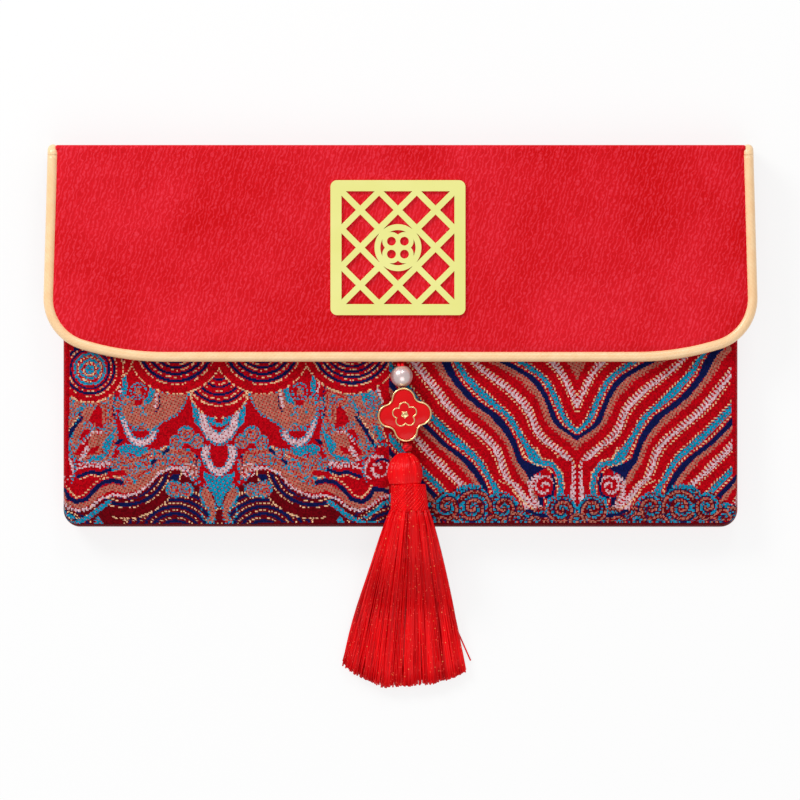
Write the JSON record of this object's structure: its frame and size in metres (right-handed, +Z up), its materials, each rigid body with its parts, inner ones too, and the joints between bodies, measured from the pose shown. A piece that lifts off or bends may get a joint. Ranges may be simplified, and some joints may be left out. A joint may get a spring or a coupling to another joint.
{
  "type": "red envelope",
  "caption": "Flat fabric gift-money pouch with a brocade front, a piped folding flap, a fretwork plate and a bead, charm and tassel pendant.",
  "frame": {"origin": "middle of the pouch's flat back face, which lies on the table", "axes": "+X across the pouch to the right as seen from the front, +Y towards the top fold, +Z up out of the brocade front"},
  "size_m": [0.195, 0.1486, 0.0176],
  "materials": {
    "red_leatherette": "pebbled satin leatherette",
    "board": "plain grey board",
    "red_lining": "smooth woven satin lining",
    "brocade": "woven many-coloured brocade",
    "cream_satin": "satin covered piping",
    "magnet": "plated disc",
    "pale_gold": "satin pale gold sheet",
    "charm_gold": "polished gold plate",
    "red_enamel": "glossy fired enamel",
    "pearl": "nacre coating",
    "red_cord": "braided cord",
    "tassel_silk": "lustrous silk thread"
  },
  "bodies": {
    "pouch": {"back_panel": "red_leatherette", "back_stiffener": "board", "back_lining": "red_lining", "front_panel": "brocade", "front_stiffener": "board", "front_lining": "red_lining", "left_gusset": "red_leatherette", "right_gusset": "red_leatherette", "bottom_gusset": "red_leatherette", "pocket_magnet": "magnet", "flap_yoke": "red_leatherette"},
    "spine": {"spine_cover": "red_leatherette", "spine_lining": "red_lining", "spine_piping": "cream_satin"},
    "flap": {"flap_cover": "red_leatherette", "flap_stiffener": "board", "flap_lining": "red_lining", "flap_piping": "cream_satin", "flap_magnet": "magnet", "lattice_plate": "pale_gold", "cord_tail": "red_cord"},
    "pendant": {"pendant_cord": "red_cord"},
    "pearl": {"pearl_bead": "pearl"},
    "charm": {"charm_frame": "charm_gold", "charm_enamel_front": "red_enamel", "charm_enamel_back": "red_enamel", "charm_cord": "red_cord"},
    "knot": {"neck_knot": "red_cord"},
    "tassel": {"tassel_head": "tassel_silk", "tassel_band": "tassel_silk", "tassel_skirt": "tassel_silk"}
  },
  "joints": [
    {"name": "spine_fold", "type": "hinge", "parent": "pouch", "child": "spine", "pos_m": [0, 0.05175, 0.0004], "axis": [-1, 0, 0], "range_deg": [0, 90]},
    {"name": "flap_fold", "type": "hinge", "parent": "spine", "child": "flap", "pos_m": [0, 0.05175, 0.0128], "axis": [-1, 0, 0], "range_deg": [0, 90]},
    {"name": "pendant_lift", "type": "hinge", "parent": "flap", "child": "pendant", "pos_m": [-0.0001, -0.0056, 0.012], "axis": [-1, 0, 0], "range_deg": [0, 80]},
    {"name": "pearl_spin", "type": "hinge", "parent": "pendant", "child": "pearl", "pos_m": [0.00033, -0.01103, 0.0125], "axis": [0.0785, -0.9969, 0], "continuous": true},
    {"name": "charm_swing", "type": "hinge", "parent": "pendant", "child": "charm", "pos_m": [0.00033, -0.01103, 0.0125], "axis": [0, 0, 1], "range_deg": [-10, 10]},
    {"name": "tassel_lift", "type": "hinge", "parent": "charm", "child": "knot", "pos_m": [0.00185, -0.03039, 0.0125], "axis": [-1, 0, 0], "range_deg": [0, 65]},
    {"name": "tassel_swing", "type": "hinge", "parent": "knot", "child": "tassel", "pos_m": [0.00185, -0.03039, 0.0125], "axis": [0, 0, 1], "range_deg": [-10, 10]}
  ]
}
